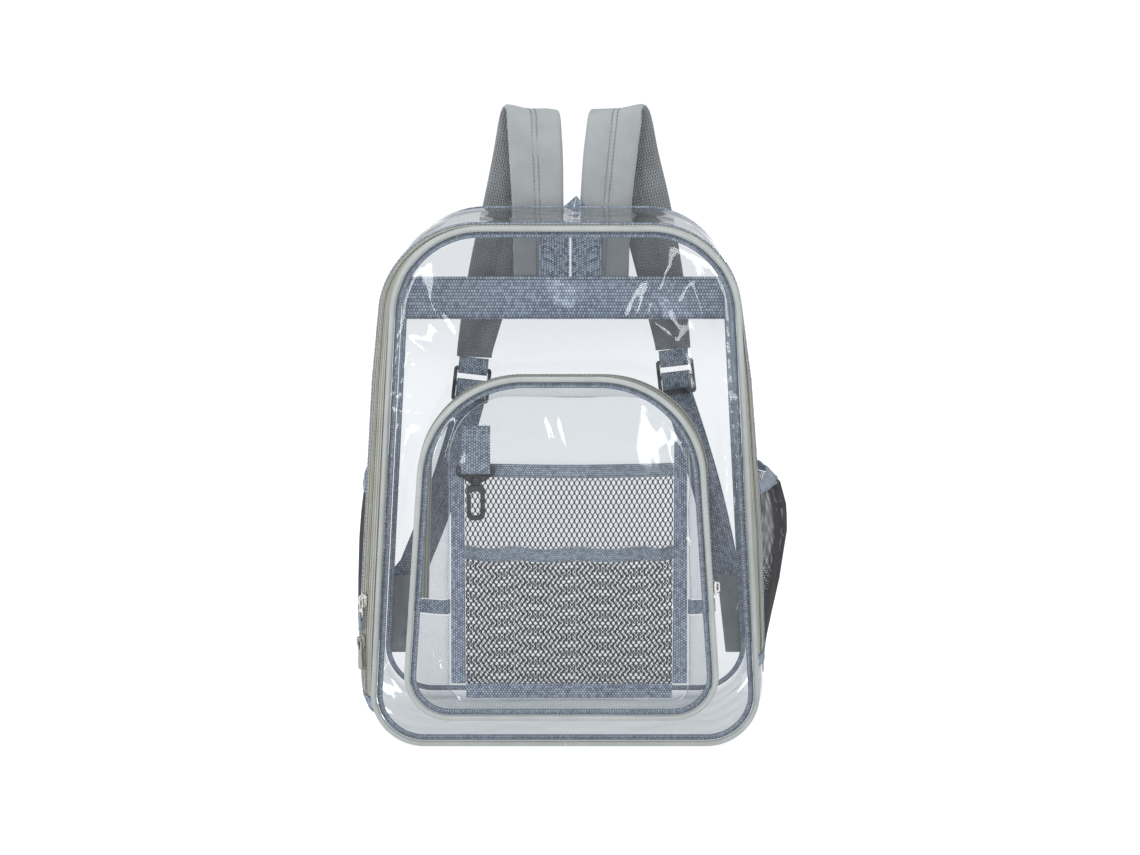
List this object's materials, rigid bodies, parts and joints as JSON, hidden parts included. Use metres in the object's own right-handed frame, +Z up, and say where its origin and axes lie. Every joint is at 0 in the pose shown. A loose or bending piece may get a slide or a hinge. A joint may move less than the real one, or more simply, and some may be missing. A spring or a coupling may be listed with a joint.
{
  "type": "clear backpack",
  "caption": "Clear vinyl backpack with a zipped front pocket holding net cells and a swivel key hook, side net pockets and padded straps.",
  "frame": {"origin": "on the floor under the middle of the base, halfway between the front and the back seam", "axes": "+Z up, -Y to the front with the pocket, +X to the right of someone who looks at the front"},
  "size_m": [0.3575, 0.2331, 0.506],
  "materials": {
    "film": "glossy clear soft vinyl sheet",
    "piping": "satin vinyl piping",
    "webbing": "woven polypropylene webbing and grosgrain binding",
    "tape": "woven zip tape with a nylon coil",
    "net": "knitted polyester net",
    "padding": "fine woven polyester over foam",
    "plastic": "moulded acetal",
    "nickel": "nickel plated die casting"
  },
  "bodies": {
    "root": {"front_panel": "film", "gusset_film": "film", "base_film": "film", "back_panel": "film", "pocket_front_panel": "film", "pocket_gusset_film": "film", "pocket_base_film": "film", "front_piping": "piping", "pocket_piping": "piping", "front_seam_binding": "webbing", "zip_edge_binding": "webbing", "zip_end_cover_left": "webbing", "zip_end_cover_right": "webbing", "back_seam_binding": "webbing", "pocket_seam_binding": "webbing", "pocket_end_tab_left": "webbing", "pocket_end_tab_right": "webbing", "organizer_binding_left": "webbing", "organizer_binding_right": "webbing", "organizer_binding_bottom": "webbing", "organizer_top_binding": "webbing", "organizer_middle_binding": "webbing", "hook_tab": "webbing", "side_net_binding_right": "webbing", "side_net_binding_left": "webbing", "cross_band": "webbing", "haul_loop": "webbing", "strap_webbing_left": "webbing", "strap_webbing_right": "webbing", "lower_webbing_left": "webbing", "lower_webbing_right": "webbing", "main_zip_tape_front": "tape", "main_zip_coil": "tape", "main_zip_tape_rear": "tape", "pocket_zip_tape_front": "tape", "pocket_zip_coil": "tape", "pocket_zip_tape_rear": "tape", "organizer_rear_net": "net", "organizer_front_net": "net", "side_net_right": "net", "side_net_left": "net", "shoulder_strap_left": "padding", "shoulder_strap_right": "padding", "anchor_tab_left": "padding", "anchor_tab_right": "padding", "hook_base": "plastic", "ladder_lock_left": "plastic", "ladder_lock_right": "plastic", "main_slider_upper": "nickel", "main_slider_lower": "nickel", "pocket_slider": "nickel"},
    "upper_pull": {"main_pull_upper": "nickel", "pull_ribbon": "webbing"},
    "lower_pull": {"main_pull_lower": "nickel"},
    "hook": {"hook_body": "plastic"},
    "gate": {"hook_gate": "plastic"}
  },
  "joints": [
    {"name": "upper_pull_swing", "type": "hinge", "parent": "root", "child": "upper_pull", "pos_m": [-0.16476, -0.05927, 0.11885], "axis": [-0.4773, 0.8783, 0.029], "range_deg": [0, 150]},
    {"name": "lower_pull_swing", "type": "hinge", "parent": "root", "child": "lower_pull", "pos_m": [-0.16676, -0.05926, 0.08463], "axis": [-0.4748, 0.8801, -0.0056], "range_deg": [0, 150]},
    {"name": "hook_swivel", "type": "hinge", "parent": "root", "child": "hook", "pos_m": [-0.071, -0.0844, 0.21], "axis": [0, 0, 1], "continuous": true},
    {"name": "gate_swing", "type": "hinge", "parent": "hook", "child": "gate", "pos_m": [-0.0765, -0.0844, 0.1999], "axis": [0, 1, 0], "range_deg": [0, 25], "stiffness_Nm_per_rad": 0.01}
  ]
}
